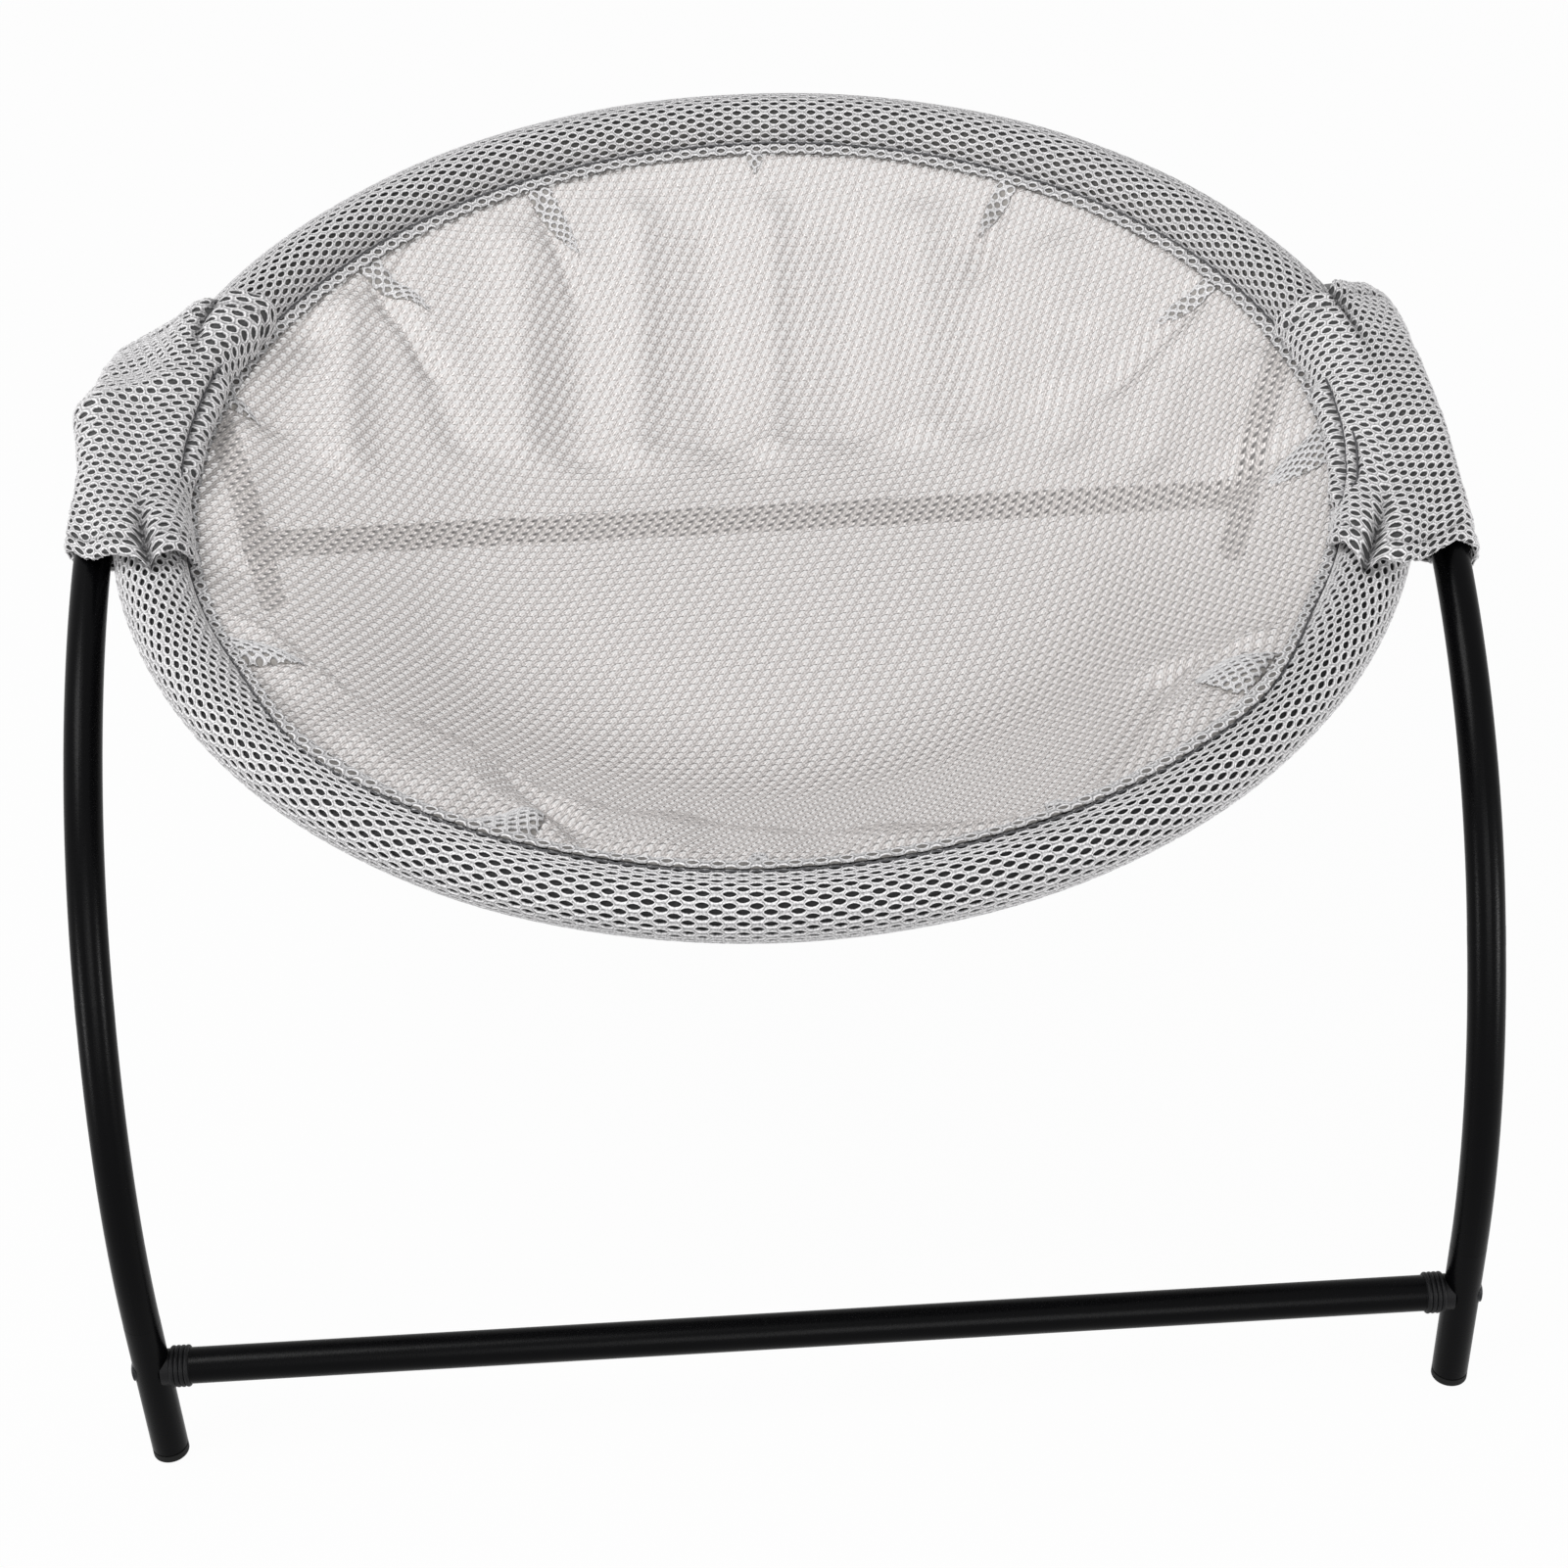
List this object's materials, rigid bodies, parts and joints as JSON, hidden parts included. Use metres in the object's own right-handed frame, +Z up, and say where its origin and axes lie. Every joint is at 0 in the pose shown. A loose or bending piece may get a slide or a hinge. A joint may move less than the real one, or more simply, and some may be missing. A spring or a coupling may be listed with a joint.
{
  "type": "pet hammock bed on a tube stand",
  "caption": "Round mesh hammock bed for a small pet: a padded hoop with a shallow bowl, carried by sleeves on the arches of a low tube stand.",
  "frame": {"origin": "middle of the footprint on the floor", "axes": "+Z up, -Y the front, X along the crossbars"},
  "size_m": [0.4532, 0.447, 0.2581],
  "materials": {
    "powder_coated_tube": "satin black powder coat",
    "hoop_tube": "black coat",
    "bare_steel": "zinc plated",
    "black_moulding": "matt moulded",
    "brass_insert": "turned",
    "black_screw": "black oxide",
    "foot_rubber": "matt",
    "rim_mesh": "light grey air mesh with large holes",
    "bowl_mesh": "light grey fine knit face of the air mesh",
    "sleeve_mesh": "light grey air mesh with large holes"
  },
  "bodies": {
    "stand": {"front_left_leg": "powder_coated_tube", "rear_left_leg": "powder_coated_tube", "front_right_leg": "powder_coated_tube", "rear_right_leg": "powder_coated_tube", "left_crown_pin": "bare_steel", "right_crown_pin": "bare_steel", "front_crossbar": "powder_coated_tube", "rear_crossbar": "powder_coated_tube", "front_left_collar": "black_moulding", "rear_left_collar": "black_moulding", "front_right_collar": "black_moulding", "rear_right_collar": "black_moulding", "front_left_insert": "brass_insert", "rear_left_insert": "brass_insert", "front_right_insert": "brass_insert", "rear_right_insert": "brass_insert", "front_left_screw": "black_screw", "rear_left_screw": "black_screw", "front_right_screw": "black_screw", "rear_right_screw": "black_screw", "front_left_foot_cap": "foot_rubber", "rear_left_foot_cap": "foot_rubber", "front_right_foot_cap": "foot_rubber", "rear_right_foot_cap": "foot_rubber"},
    "hammock": {"hoop": "hoop_tube", "hoop_pin": "bare_steel", "rim_cover": "rim_mesh", "seam_edge": "rim_mesh", "bowl": "bowl_mesh", "left_sleeve": "sleeve_mesh", "right_sleeve": "sleeve_mesh"}
  },
  "joints": [
    {"name": "hammock_tilt", "type": "hinge", "parent": "stand", "child": "hammock", "pos_m": [0, 0, 0.04915], "axis": [1, 0, 0], "range_deg": [-10, 10]}
  ]
}
